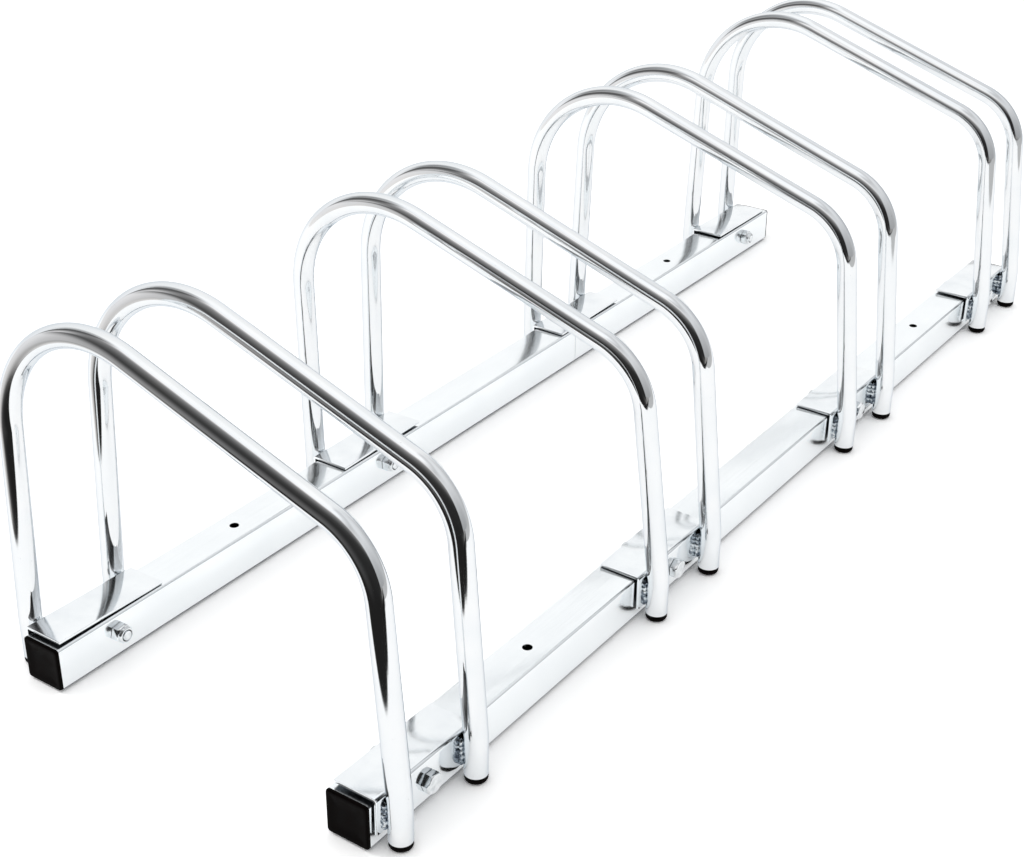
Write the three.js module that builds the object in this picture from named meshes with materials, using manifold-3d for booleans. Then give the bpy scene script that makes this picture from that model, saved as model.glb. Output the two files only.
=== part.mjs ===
// Floor bike rack for four wheels, in millimetres, +Z up, resting on z = 0.
// +X runs along the two rails; -Y is the front, the low side of the hoops.
import * as THREE from "three";
import Module from "manifold-3d";

// Rails: square tube in two segments, the longer one swaged to slide into the other.
const RACK_LENGTH = 1000;
const RAIL_SIZE = 32;
const RAIL_WALL = 1.5;
const RAIL_CORNER = 2;
const RAIL_LIFT = 1.5;
// Where the seam and the screw holes are along X, as shares of the rack's length.
const SEAM_SHARE = 0.1225;
const SCREW_HOLE_SHARE = 0.3135;
const SPIGOT_LENGTH = 52;
const SHOULDER_LENGTH = 4;
const SCREW_HOLE_RADIUS = 3.6;
const CAP_FLANGE = 2;
const CAP_ROUND = 1.2;
const CAP_STEM_LENGTH = 14;

// Hoops: bent round tube, welded in pairs to the brackets.
const TUBE_RADIUS = 8;
const TUBE_WALL = 1.2;
const TUBE_SIDES = 14;
const BORE_SIDES = 8;
const TUBE_BOTTOM = 5.5;
const LEG_SPREAD = 320;
const LEG_STRAIGHT = 34;
const LEG_BEND_RADIUS = 100;
const FRONT_CORNER = { inset: 17, height: 198.5, radius: 51 };
const BACK_CORNER = { inset: 7, height: 297, radius: 86 };
// The outer pairs keep to the rack's ends, and the inner ones to a share of its length.
const END_PAIR_INSETS = [54, 53];
const INNER_PAIR_SHARES = [-0.1535, 0.1525];
const HOOP_SPACING = 75;
// How far each hoop leans to +X above its straight legs, per unit of height.
const HOOP_LEAN = [0.031, 0.038, -0.044, -0.015, -0.009, 0.023, 0.023, -0.021];

// Feet: domed plugs in the hoop ends, with a small flat to stand on.
const FOOT_RADIUS = 7.8;
const FOOT_FLAT_RADIUS = 4.8;
const FOOT_STEM_LENGTH = 9;
const FOOT_SIDES = 12;

// Brackets: L-shaped plates over the rail, one per hoop pair and rail.
const PLATE = 2;
const PLATE_BEND = 2.6;
const BRACKET_LENGTH = 94;
const BRACKET_OFFSET = -2;
const SIDE_PLATE_BOTTOM = 10;
const TOP_PLATE_INSET = 2;
const TOP_PLATE_GAP = 1;
const SIDE_PLATE_GAP = 1.2;
const BEAD_RADIUS = 1.5;
const BEAD_SIDES = 8;
const BEAD_MARGIN = 2.5;

// Bolts: M8 hexagon bolts with locking nuts, one per bracket.
const BOLT_Z = 20;
const SHANK_RADIUS = 3.7;
const HEX_ACROSS_FLATS = 13;
const HEAD_HEIGHT = 5.3;
const NUT_HEX_HEIGHT = 6;
const NUT_COLLAR_HEIGHT = 2.2;
const NUT_COLLAR_RADIUS = 5.6;
const BOLT_STICKOUT = 1.8;
const HOLE_CLEARANCE = 0.6;
const HEX_CHAMFER = 0.9;
const ROUND_SIDES = 12;

const CLEARANCE = 0.3;

// Sizes that follow from the ones above.
const LEG_Y = LEG_SPREAD / 2;
const RAIL_TOP = RAIL_LIFT + RAIL_SIZE;
const RAIL_END = RACK_LENGTH / 2 - CAP_FLANGE - CLEARANCE;
const SEAM_X = RACK_LENGTH * SEAM_SHARE;
const SCREW_HOLE_X = RACK_LENGTH * SCREW_HOLE_SHARE;
const PAIR_X = [
  END_PAIR_INSETS[0] - RACK_LENGTH / 2,
  ...INNER_PAIR_SHARES.map((share) => share * RACK_LENGTH),
  RACK_LENGTH / 2 - END_PAIR_INSETS[1],
];
const PLATE_OUTER_Y = LEG_Y - TUBE_RADIUS - CLEARANCE;
const RAIL_OUTER_Y = PLATE_OUTER_Y - PLATE - SIDE_PLATE_GAP;
const RAIL_INNER_Y = RAIL_OUTER_Y - RAIL_SIZE;
const RAIL_Y = (RAIL_OUTER_Y + RAIL_INNER_Y) / 2;
const RAIL_BORE = RAIL_SIZE - 2 * RAIL_WALL;
const RAIL_BORE_CORNER = RAIL_CORNER - RAIL_WALL / 2;
const SPIGOT_SIZE = RAIL_BORE - 2 * CLEARANCE;
const TOP_PLATE_TOP = RAIL_TOP + TOP_PLATE_GAP + PLATE;
const BOLT_HOLE_RADIUS = SHANK_RADIUS + HOLE_CLEARANCE;
const HEX_RADIUS = HEX_ACROSS_FLATS / 2 / Math.cos(Math.PI / 6);
const TUBE_TO_PLATE = TUBE_RADIUS + CLEARANCE;
const BEAD_OFFSET = Math.sqrt((TUBE_TO_PLATE + BEAD_RADIUS) ** 2 - TUBE_TO_PLATE ** 2);
const FOOT_STEM_RADIUS = (TUBE_RADIUS - TUBE_WALL) * Math.cos(Math.PI / BORE_SIDES) - CLEARANCE;

const wasm = await Module();
wasm.setup();

const CHROME = { color: 0xd9dee3, roughness: 0.12, metalness: 1 };
const ZINC = { color: 0xdfe5ea, roughness: 0.3, metalness: 0.9 };
const STEEL = { color: 0xc4c9ce, roughness: 0.28, metalness: 1 };
const PLASTIC = { color: 0x15110f, roughness: 0.45, metalness: 0 };

// A solid from a geometry, welded by position alone.
function solid(geometry) {
  const flat = geometry.index ? geometry.toNonIndexed() : geometry;
  const position = flat.getAttribute("position");
  const found = new Map();
  const vertices = [];
  const triangles = [];
  for (let i = 0; i < position.count; i++) {
    const point = [position.getX(i), position.getY(i), position.getZ(i)];
    const key = point.map((value) => Math.round(value * 1e4)).join();
    if (!found.has(key)) {
      found.set(key, vertices.length / 3);
      vertices.push(...point);
    }
    triangles.push(found.get(key));
  }
  const kept = [];
  for (let i = 0; i < triangles.length; i += 3) {
    const [a, b, c] = triangles.slice(i, i + 3);
    if (a !== b && b !== c && c !== a) kept.push(a, b, c);
  }
  return new wasm.Manifold(
    new wasm.Mesh({
      numProp: 3,
      vertProperties: new Float32Array(vertices),
      triVerts: new Uint32Array(kept),
    }),
  );
}

function geometryOf(made) {
  const mesh = made.getMesh();
  const geometry = new THREE.BufferGeometry();
  const position = new THREE.BufferAttribute(mesh.vertProperties, 3);
  geometry.setAttribute("position", position);
  geometry.setIndex(new THREE.BufferAttribute(mesh.triVerts, 1));
  return geometry;
}

function addNode(group, name, finish, geometry) {
  const mesh = new THREE.Mesh(geometry, new THREE.MeshStandardMaterial(finish));
  mesh.name = name;
  group.add(mesh);
}

// A square with rounded corners, centred on the origin.
function roundedSquare(size, radius) {
  const half = size / 2;
  const shape = new THREE.Shape();
  for (let corner = 0; corner < 4; corner++) {
    const start = (corner * Math.PI) / 2;
    const x = Math.sign(Math.cos(start + Math.PI / 4)) * (half - radius);
    const y = Math.sign(Math.sin(start + Math.PI / 4)) * (half - radius);
    shape.absarc(x, y, radius, start, start + Math.PI / 2, false);
  }
  return shape;
}

// A bar along X between two stations, its section centred on a rail's middle.
function railBar(size, radius, fromX, toX) {
  const geometry = new THREE.ExtrudeGeometry(roundedSquare(size, radius), {
    depth: toX - fromX,
    bevelEnabled: false,
    curveSegments: 2,
  });
  geometry.rotateY(Math.PI / 2);
  geometry.translate(fromX, 0, RAIL_LIFT + RAIL_SIZE / 2);
  return solid(geometry);
}

// A cylinder through a point: along Z, or turned to lie along Y.
function drill(radius, length, x, y, z, alongY) {
  const geometry = new THREE.CylinderGeometry(radius, radius, length, ROUND_SIDES);
  if (!alongY) geometry.rotateX(Math.PI / 2);
  geometry.translate(x, y, z);
  return solid(geometry);
}

function drillRail(made, fromX, toX) {
  let drilled = made;
  for (const x of PAIR_X) {
    if (x < fromX || x > toX) continue;
    const hole = drill(BOLT_HOLE_RADIUS, 2 * RAIL_SIZE, x, 0, BOLT_Z, true);
    drilled = drilled.subtract(hole);
  }
  for (const x of [-SCREW_HOLE_X, SCREW_HOLE_X]) {
    if (x < fromX || x > toX) continue;
    const middle = RAIL_LIFT + RAIL_SIZE / 2;
    const hole = drill(SCREW_HOLE_RADIUS, 2 * RAIL_SIZE, x, 0, middle, false);
    drilled = drilled.subtract(hole);
  }
  return drilled;
}

// The longer rail segment, with its swaged end past the seam.
function longRail() {
  const seam = SEAM_X - CLEARANCE / 2;
  const spigotEnd = seam + SPIGOT_LENGTH;
  const shoulder = seam - SHOULDER_LENGTH;
  const spigotBore = SPIGOT_SIZE - 2 * RAIL_WALL;
  const tube = railBar(RAIL_SIZE, RAIL_CORNER, -RAIL_END, seam)
    .add(railBar(SPIGOT_SIZE, RAIL_BORE_CORNER, shoulder, spigotEnd))
    .subtract(railBar(RAIL_BORE, RAIL_BORE_CORNER, -RACK_LENGTH, shoulder))
    .subtract(railBar(spigotBore, RAIL_BORE_CORNER, -RACK_LENGTH, RACK_LENGTH));
  return drillRail(tube, -RAIL_END, spigotEnd);
}

function shortRail() {
  const seam = SEAM_X + CLEARANCE / 2;
  const tube = railBar(RAIL_SIZE, RAIL_CORNER, seam, RAIL_END)
    .subtract(railBar(RAIL_BORE, RAIL_BORE_CORNER, -RACK_LENGTH, RACK_LENGTH));
  return drillRail(tube, seam, RAIL_END);
}

// A plastic end plug for the rail's -X end: flange with a rounded rim, and a stem.
function endCap() {
  const half = RACK_LENGTH / 2;
  const rim = CAP_ROUND;
  const flange = new THREE.ExtrudeGeometry(
    roundedSquare(RAIL_SIZE - 2 * rim, RAIL_CORNER),
    {
      depth: CAP_FLANGE - rim,
      bevelEnabled: true,
      bevelThickness: rim,
      bevelSize: rim,
      bevelSegments: 2,
      curveSegments: 2,
    },
  );
  flange.rotateY(Math.PI / 2);
  flange.translate(rim - half, 0, RAIL_LIFT + RAIL_SIZE / 2);
  const behind = railBar(RACK_LENGTH, RAIL_CORNER, CAP_FLANGE - half, half);
  const stemEnd = CAP_FLANGE + CAP_STEM_LENGTH - half;
  const stem = railBar(SPIGOT_SIZE, RAIL_BORE_CORNER, rim - half, stemEnd);
  return solid(flange).subtract(behind).add(stem);
}

// The centre line of a hoop: straight lines joined by arcs.
class HoopPath extends THREE.Curve {
  constructor(points) {
    super();
    this.points = points;
  }
  getPoint(t) {
    const place = t * (this.points.length - 1);
    const index = Math.min(Math.floor(place), this.points.length - 2);
    return this.points[index].clone().lerp(this.points[index + 1], place - index);
  }
  getPointAt(u) {
    return this.getPoint(u);
  }
  getTangentAt(u) {
    const index = Math.round(u * (this.points.length - 1));
    const before = this.points[Math.max(index - 1, 0)];
    const after = this.points[Math.min(index + 1, this.points.length - 1)];
    const here = this.points[index];
    const tangent = new THREE.Vector3();
    if (index > 0) tangent.add(here.clone().sub(before).normalize());
    if (after !== here) tangent.add(after.clone().sub(here).normalize());
    return tangent.normalize();
  }
}

// The stations of an arc that rounds the corner between two lines.
function roundCorner(from, corner, to, radius, steps) {
  const back = from.clone().sub(corner).normalize();
  const ahead = to.clone().sub(corner).normalize();
  const half = back.angleTo(ahead) / 2;
  const middle = back.clone().add(ahead).normalize();
  const centre = corner.clone().addScaledVector(middle, radius / Math.sin(half));
  const start = corner.clone().addScaledVector(back, radius / Math.tan(half));
  const arm = start.sub(centre);
  const axis = new THREE.Vector3().crossVectors(back, ahead).negate().normalize();
  const sweep = Math.PI - 2 * half;
  return Array.from({ length: steps + 1 }, (_, step) =>
    arm.clone().applyAxisAngle(axis, (sweep * step) / steps).add(centre),
  );
}

function hoopPath(lean) {
  const yz = (y, z) => new THREE.Vector3(0, y, z);
  const frontFoot = yz(-LEG_Y, TUBE_BOTTOM);
  const frontKnee = yz(-LEG_Y, LEG_STRAIGHT);
  const low = yz(FRONT_CORNER.inset - LEG_Y, FRONT_CORNER.height);
  const high = yz(LEG_Y - BACK_CORNER.inset, BACK_CORNER.height);
  const backKnee = yz(LEG_Y, LEG_STRAIGHT);
  const backFoot = yz(LEG_Y, TUBE_BOTTOM);
  const upright = [
    frontFoot,
    ...roundCorner(frontFoot, frontKnee, low, LEG_BEND_RADIUS, 1),
    ...roundCorner(frontKnee, low, high, FRONT_CORNER.radius, 6),
    ...roundCorner(low, high, backKnee, BACK_CORNER.radius, 9),
    ...roundCorner(high, backKnee, backFoot, LEG_BEND_RADIUS, 1),
    backFoot,
  ];
  return new HoopPath(
    upright.map(({ y, z }) => {
      const rise = Math.max(z - LEG_STRAIGHT, 0);
      return new THREE.Vector3(lean * rise, y, z);
    }),
  );
}

// A regular ring of points; its flats are as far out as the round it stands for.
function ringPoints(radius, sides) {
  return Array.from({ length: sides }, (_, side) => {
    const turn = (2 * Math.PI * (side + 0.5)) / sides;
    return new THREE.Vector2(radius * Math.cos(turn), radius * Math.sin(turn));
  });
}

function hoop(lean) {
  const path = hoopPath(lean);
  const section = new THREE.Shape(ringPoints(TUBE_RADIUS, TUBE_SIDES));
  section.holes.push(new THREE.Path(ringPoints(TUBE_RADIUS - TUBE_WALL, BORE_SIDES)));
  return solid(
    new THREE.ExtrudeGeometry(section, {
      steps: path.points.length - 1,
      extrudePath: path,
      bevelEnabled: false,
    }),
  );
}

// A solid of revolution round Z, from a profile that starts and ends on the axis.
function turned(profile, sides) {
  const points = profile.map(([radius, height]) => new THREE.Vector2(radius, height));
  const geometry = new THREE.LatheGeometry(points, sides);
  geometry.rotateX(Math.PI / 2);
  return solid(geometry);
}

function foot() {
  const stem = FOOT_STEM_RADIUS;
  const rim = TUBE_BOTTOM - CLEARANCE;
  const dome = (FOOT_RADIUS - FOOT_FLAT_RADIUS) / 2;
  return turned(
    [
      [0, 0],
      [FOOT_FLAT_RADIUS, 0],
      [FOOT_FLAT_RADIUS + dome * 1.3, dome * 0.5],
      [FOOT_RADIUS, rim * 0.6],
      [FOOT_RADIUS, rim],
      [stem, rim],
      [stem, rim + FOOT_STEM_LENGTH],
      [0, rim + FOOT_STEM_LENGTH],
    ],
    FOOT_SIDES,
  );
}

// An L-shaped plate for the front rail, drilled, with the beads that hold two legs.
// It is a little off centre along X: ahead is 1, or -1 if it is turned round afterwards.
function bracket(ahead) {
  const side = -PLATE_OUTER_Y;
  const edge = -RAIL_INNER_Y - TOP_PLATE_INSET;
  const top = TOP_PLATE_TOP;
  const profile = new THREE.Shape();
  profile.moveTo(side, SIDE_PLATE_BOTTOM);
  profile.lineTo(side + PLATE, SIDE_PLATE_BOTTOM);
  profile.lineTo(side + PLATE, top - PLATE_BEND);
  profile.lineTo(side + PLATE_BEND, top - PLATE);
  profile.lineTo(edge, top - PLATE);
  profile.lineTo(edge, top);
  profile.lineTo(side + PLATE_BEND, top);
  profile.absarc(side + PLATE_BEND, top - PLATE_BEND, PLATE_BEND, Math.PI / 2, Math.PI);
  const geometry = new THREE.ExtrudeGeometry(profile, {
    depth: BRACKET_LENGTH,
    bevelEnabled: false,
    curveSegments: 4,
  });
  geometry.rotateX(Math.PI / 2);
  geometry.rotateZ(Math.PI / 2);
  geometry.translate(ahead * BRACKET_OFFSET - BRACKET_LENGTH / 2, 0, 0);
  let made = solid(geometry);
  made = made.subtract(drill(BOLT_HOLE_RADIUS, 4 * PLATE, 0, side, BOLT_Z, true));
  const low = SIDE_PLATE_BOTTOM + BEAD_MARGIN;
  const high = top - PLATE_BEND - BEAD_MARGIN;
  for (const leg of [-HOOP_SPACING / 2, HOOP_SPACING / 2]) {
    for (const offset of [-BEAD_OFFSET, BEAD_OFFSET]) {
      const bead = new THREE.CylinderGeometry(BEAD_RADIUS, BEAD_RADIUS, high - low, BEAD_SIDES);
      bead.rotateX(Math.PI / 2);
      bead.translate(leg + offset, side, (low + high) / 2);
      made = made.add(solid(bead));
    }
  }
  return made;
}

// A hexagon standing on z = 0, its far corners turned off.
function hexagon(height) {
  const prism = new THREE.CylinderGeometry(HEX_RADIUS, HEX_RADIUS, height, 6);
  prism.rotateX(Math.PI / 2);
  prism.translate(0, 0, height / 2);
  const turnedOff = turned(
    [
      [0, -HEX_CHAMFER],
      [HEX_ACROSS_FLATS, -HEX_CHAMFER],
      [HEX_RADIUS, height - HEX_CHAMFER],
      [HEX_ACROSS_FLATS / 2 - HEX_CHAMFER / 2, height],
      [0, height],
    ],
    ROUND_SIDES,
  );
  return solid(prism).intersect(turnedOff);
}

// A front bolt, its head outside the bracket and its shank through the rail.
function bolt() {
  const headFace = -PLATE_OUTER_Y - CLEARANCE;
  const nutTop = -RAIL_INNER_Y + CLEARANCE + NUT_HEX_HEIGHT + NUT_COLLAR_HEIGHT;
  const length = nutTop + BOLT_STICKOUT - headFace;
  const shank = drill(SHANK_RADIUS, length + 1, 0, 0, (1 - length) / 2, false);
  return hexagon(HEAD_HEIGHT)
    .add(shank)
    .rotate([90, 0, 0])
    .translate([0, headFace, BOLT_Z]);
}

// A front locking nut, on the inner face of the rail.
function nut() {
  const height = NUT_HEX_HEIGHT + NUT_COLLAR_HEIGHT;
  const collar = turned(
    [
      [0, 1],
      [NUT_COLLAR_RADIUS, 1],
      [NUT_COLLAR_RADIUS, height - NUT_COLLAR_HEIGHT / 2],
      [NUT_COLLAR_RADIUS - NUT_COLLAR_HEIGHT / 3, height],
      [0, height],
    ],
    ROUND_SIDES,
  );
  return hexagon(NUT_HEX_HEIGHT)
    .add(collar)
    .subtract(drill(SHANK_RADIUS + CLEARANCE, 4 * height, 0, 0, 0, false))
    .rotate([-90, 0, 0])
    .translate([0, -RAIL_INNER_Y + CLEARANCE, BOLT_Z]);
}

const SIDES = [
  { side: "front", turn: 0, y: -1 },
  { side: "back", turn: 180, y: 1 },
];

function addRails(group) {
  for (const { side, y } of SIDES) {
    const place = [0, y * RAIL_Y, 0];
    addNode(group, `rail_${side}_long`, ZINC, geometryOf(longRail().translate(place)));
    addNode(group, `rail_${side}_short`, ZINC, geometryOf(shortRail().translate(place)));
    for (const [end, turn] of [["left", 0], ["right", 180]]) {
      const cap = endCap().rotate([0, 0, turn]).translate(place);
      addNode(group, `cap_${side}_${end}`, PLASTIC, geometryOf(cap));
    }
  }
}

function addFasteners(group) {
  for (const { side, turn, y } of SIDES) {
    PAIR_X.forEach((x, index) => {
      const pieces = { bracket: [bracket, ZINC], bolt: [bolt, STEEL], nut: [nut, STEEL] };
      for (const [piece, [make, finish]] of Object.entries(pieces)) {
        const made = make(-y).rotate([0, 0, turn]).translate([x, 0, 0]);
        addNode(group, `${piece}_${side}_${index + 1}`, finish, geometryOf(made));
      }
    });
  }
}

function addHoops(group) {
  PAIR_X.forEach((pair, index) => {
    for (const [second, offset] of [-HOOP_SPACING / 2, HOOP_SPACING / 2].entries()) {
      const number = 2 * index + second + 1;
      const x = pair + offset;
      const bent = hoop(HOOP_LEAN[number - 1]).translate([x, 0, 0]);
      addNode(group, `hoop_${number}`, CHROME, geometryOf(bent));
      for (const { side, y } of SIDES) {
        const made = foot().translate([x, y * LEG_Y, 0]);
        addNode(group, `foot_${side}_${number}`, PLASTIC, geometryOf(made));
      }
    }
  });
}

const rack = new THREE.Group();
rack.name = "floor_bike_rack";
addRails(rack);
addHoops(rack);
addFasteners(rack);
export default rack;
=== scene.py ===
import math

import bmesh
import bpy
from mathutils import Matrix, Vector


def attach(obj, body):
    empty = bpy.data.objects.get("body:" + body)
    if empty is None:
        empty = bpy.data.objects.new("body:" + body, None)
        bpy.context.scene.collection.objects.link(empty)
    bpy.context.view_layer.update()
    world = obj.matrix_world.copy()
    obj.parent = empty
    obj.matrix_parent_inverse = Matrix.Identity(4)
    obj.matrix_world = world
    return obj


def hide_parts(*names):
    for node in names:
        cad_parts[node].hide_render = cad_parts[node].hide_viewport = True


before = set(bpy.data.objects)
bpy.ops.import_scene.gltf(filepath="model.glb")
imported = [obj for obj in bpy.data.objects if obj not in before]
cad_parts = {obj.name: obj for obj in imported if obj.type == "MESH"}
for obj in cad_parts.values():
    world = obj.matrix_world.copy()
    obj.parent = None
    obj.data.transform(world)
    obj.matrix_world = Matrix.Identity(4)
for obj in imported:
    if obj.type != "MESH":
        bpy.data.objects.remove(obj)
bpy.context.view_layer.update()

# ---------------------------------------------------------------- the camera
# A 60 mm lens about 1.4 m from the rack's middle, above and in front of its left end,
# looking down along it, as the photograph was taken.
camera_place = Vector((-1.081923, -0.659214, 0.698634))
camera_right = Vector((0.577789, -0.8161719, 0.0048257))
camera_down = Vector((-0.3837371, -0.2768661, -0.8809603))
camera_ahead = Vector((0.7203511, 0.5071573, -0.4731656))

bpy.ops.object.select_all(action="DESELECT")
bpy.ops.object.camera_add()
camera = bpy.context.object
camera.name = "photo_camera"
camera.data.lens = 60.13
camera.data.sensor_width = 36.0
camera.data.shift_x = 0.001
turn = Matrix((camera_right, -camera_down, -camera_ahead)).transposed()
camera.matrix_world = Matrix.Translation(camera_place) @ turn.to_4x4()
bpy.context.scene.camera = camera
bpy.context.scene.view_settings.view_transform = "Standard"


# ---------------------------------------------------------------- the studio
# A wide sheet of white paper on the floor of a pale room. Only the plating mirrors the rest:
# the room's walls, a dark screen left of the rack, and the paper turning dark towards it.
PALE_WALL_AZIMUTH = -60
GREY_WALL_AZIMUTH = -108
BACK_CORNER_AZIMUTH = 130
PAPER_SIZE = 16.0
PAPER_BOUNCE = 0.64
PAPER_SEEN = 1.50
PAPER_MIRRORED = 0.68
PAPER_GLOW = 0.52
SCREEN_SIZE = 3.9
# How far the ramps reach: to both sides of the rack's middle, and up from the floor.
SIDE_REACH = 1.5
HEIGHT_REACH = 2.0


def feed(tree, socket, value):
    """Gives a socket a link from another socket, or a number or colour of its own."""
    if isinstance(value, bpy.types.NodeSocket):
        tree.links.new(value, socket)
    else:
        socket.default_value = value


def add_node(tree, kind, inputs=None, **settings):
    made = tree.nodes.new(kind)
    for name, value in settings.items():
        setattr(made, name, value)
    for name, value in (inputs or {}).items():
        feed(tree, made.inputs[name], value)
    return made


def empty_finish(name):
    """A material with an empty node tree, and the Object coordinates to pattern it by."""
    made = bpy.data.materials.new(name)
    made.use_nodes = True
    made.node_tree.nodes.clear()
    place = add_node(made.node_tree, "ShaderNodeTexCoord").outputs["Object"]
    return made, made.node_tree, place


def maths(tree, operation, *values):
    made = add_node(tree, "ShaderNodeMath", operation=operation)
    for socket, value in zip(made.inputs, values):
        feed(tree, socket, value)
    return made.outputs[0]


def fade(tree, value, start, end):
    """0 before start and 1 after end, with a soft change between them."""
    made = add_node(tree, "ShaderNodeMapRange", interpolation_type="SMOOTHSTEP",
                    inputs={"Value": value, "From Min": start, "From Max": end})
    return made.outputs["Result"]


def mix_colours(tree, share, first, second, blend_type="MIX"):
    made = add_node(tree, "ShaderNodeMix", data_type="RGBA", blend_type=blend_type)
    for index, value in ((0, share), (6, first), (7, second)):
        feed(tree, made.inputs[index], value)
    return made.outputs[2]


def grey(value, tint=(1.0, 1.0, 1.0)):
    return (value * tint[0], value * tint[1], value * tint[2], 1.0)


def ramp(tree, value, stops):
    made = add_node(tree, "ShaderNodeValToRGB", inputs={"Fac": value})
    elements = made.color_ramp.elements
    while len(elements) > 1:
        elements.remove(elements[-1])
    for index, (position, colour) in enumerate(stops):
        element = elements[0] if index == 0 else elements.new(position)
        element.position = position
        element.color = colour
    return made.outputs["Color"]


def facing(tree, x, y, azimuth):
    """The cosine of the angle between a level direction and an azimuth in degrees."""
    angle = math.radians(azimuth)
    return maths(tree, "ADD", maths(tree, "MULTIPLY", x, math.cos(angle)),
                 maths(tree, "MULTIPLY", y, math.sin(angle)))


def by_height(tree, height, stops):
    """A ramp whose stops are given by elevation in degrees, from the floor upwards."""
    return ramp(tree, height, [((degrees + 90) / 180, grey(value, (1.0, 1.01, 1.03)))
                               for degrees, value in stops])


def by_place(tree, value, start, end, stops, tint=(1.02, 1.0, 1.0)):
    """A ramp over start to end whose stops are given in the value's own units."""
    share = maths(tree, "DIVIDE", maths(tree, "SUBTRACT", value, start), end - start)
    return ramp(tree, share, [((stop - start) / (end - start), grey(shade, tint))
                              for stop, shade in stops])


def screen_foot(tree, y):
    """The tone at the foot of the dark screen: black near the photographer, pale beyond."""
    return by_place(tree, y, -SIDE_REACH, SIDE_REACH, [
        (-1.10, 0.30), (-0.85, 0.08), (-0.65, 0.028), (-0.50, 0.016), (0.09, 0.016),
        (0.16, 0.026), (0.22, 0.09), (0.28, 0.42), (0.35, 0.68), (0.50, 0.82), (0.90, 0.92)],
        (1.02, 0.99, 0.97))


world = bpy.data.worlds.new("studio")
bpy.context.scene.world = world
world.use_nodes = True
tree = world.node_tree
tree.nodes.clear()
direction = add_node(tree, "ShaderNodeTexCoord").outputs["Generated"]
split = add_node(tree, "ShaderNodeSeparateXYZ", inputs={"Vector": direction})
x, y, z = split.outputs
level = maths(tree, "MAXIMUM", maths(tree, "SQRT", maths(
    tree, "MAXIMUM", maths(tree, "SUBTRACT", 1.0, maths(tree, "MULTIPLY", z, z)), 0.0)), 0.001)
x = maths(tree, "DIVIDE", x, level)
y = maths(tree, "DIVIDE", y, level)
height = maths(tree, "ADD", maths(
    tree, "DIVIDE", maths(tree, "ARCSINE", z), math.pi), 0.5)
pale_wall = fade(tree, facing(tree, x, y, PALE_WALL_AZIMUTH), 0.20, 0.60)
grey_wall = fade(tree, facing(tree, x, y, GREY_WALL_AZIMUTH), 0.40, 0.88)
back_corner = fade(tree, facing(tree, x, y, BACK_CORNER_AZIMUTH), 0.62, 0.90)
wall = by_height(tree, height, [(5, 0.55), (15, 0.60), (25, 0.66), (35, 0.75), (45, 0.82),
                                (55, 0.83), (65, 0.68), (75, 0.82), (82, 1.08)])
shade = by_height(tree, height, [(-5, 0.38), (5, 0.42), (15, 0.48), (25, 0.56), (35, 0.66),
                                 (45, 0.75), (55, 0.72), (65, 0.62), (75, 0.85), (82, 1.08)])
corner = by_height(tree, height, [(14, 0.98), (22, 0.70), (29, 0.34), (37, 0.24), (47, 0.32),
                                  (57, 0.45), (66, 0.75), (74, 1.05)])
seen = mix_colours(tree, fade(tree, height, 0.78, 0.88), grey(1.03), grey(1.12))
seen = mix_colours(tree, pale_wall, seen, wall)
seen = mix_colours(tree, grey_wall, seen, shade)
seen = mix_colours(tree, back_corner, seen, corner)
path = add_node(tree, "ShaderNodeLightPath")
mirrored = path.outputs["Is Glossy Ray"]
shown = mix_colours(tree, path.outputs["Is Diffuse Ray"], grey(1.0), grey(0.80))
shown = mix_colours(tree, mirrored, shown, seen)
background = add_node(tree, "ShaderNodeBackground", inputs={"Color": shown, "Strength": 1.0})
add_node(tree, "ShaderNodeOutputWorld", inputs={"Surface": background.outputs[0]})

bpy.ops.object.select_all(action="DESELECT")
bpy.ops.mesh.primitive_plane_add(size=PAPER_SIZE, location=(0.0, 0.0, -0.0001))
paper = bpy.context.object
paper.name = "paper"
finish, tree, place = empty_finish("white_paper")
split = add_node(tree, "ShaderNodeSeparateXYZ", inputs={"Vector": place})
x, y = split.outputs["X"], split.outputs["Y"]
across = maths(tree, "ADD", maths(tree, "MULTIPLY", x, 0.82), maths(tree, "MULTIPLY", y, 0.574))
past_left = fade(tree, x, -0.655, -0.675)
past_corner = maths(tree, "MULTIPLY", fade(tree, across, -0.73, -0.76),
                    fade(tree, x, -0.40, -0.56))
past_front = fade(tree, y, -0.84, -0.88)
tone = mix_colours(tree, past_front, grey(1.0), grey(0.50))
tone = mix_colours(tree, past_corner, tone, grey(0.012))
tone = mix_colours(tree, past_left, tone, screen_foot(tree, y))
path = add_node(tree, "ShaderNodeLightPath")
mirrored = path.outputs["Is Glossy Ray"]
tone = mix_colours(tree, mirrored, grey(1.0), tone)
straight = maths(tree, "MAXIMUM", path.outputs["Is Camera Ray"],
                 maths(tree, "MAXIMUM", mirrored, path.outputs["Is Transmission Ray"]))
white = mix_colours(tree, straight, grey(PAPER_BOUNCE), grey(PAPER_SEEN))
white = mix_colours(tree, mirrored, white, grey(PAPER_MIRRORED))
diffuse = add_node(tree, "ShaderNodeBsdfDiffuse", inputs={
    "Color": mix_colours(tree, 1.0, white, tone, "MULTIPLY")})
glow = add_node(tree, "ShaderNodeEmission", inputs={
    "Color": tone, "Strength": maths(tree, "MULTIPLY", mirrored, PAPER_GLOW)})
both = add_node(tree, "ShaderNodeAddShader")
tree.links.new(diffuse.outputs[0], both.inputs[0])
tree.links.new(glow.outputs[0], both.inputs[1])
add_node(tree, "ShaderNodeOutputMaterial", inputs={"Surface": both.outputs[0]})
paper.data.materials.append(finish)

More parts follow.
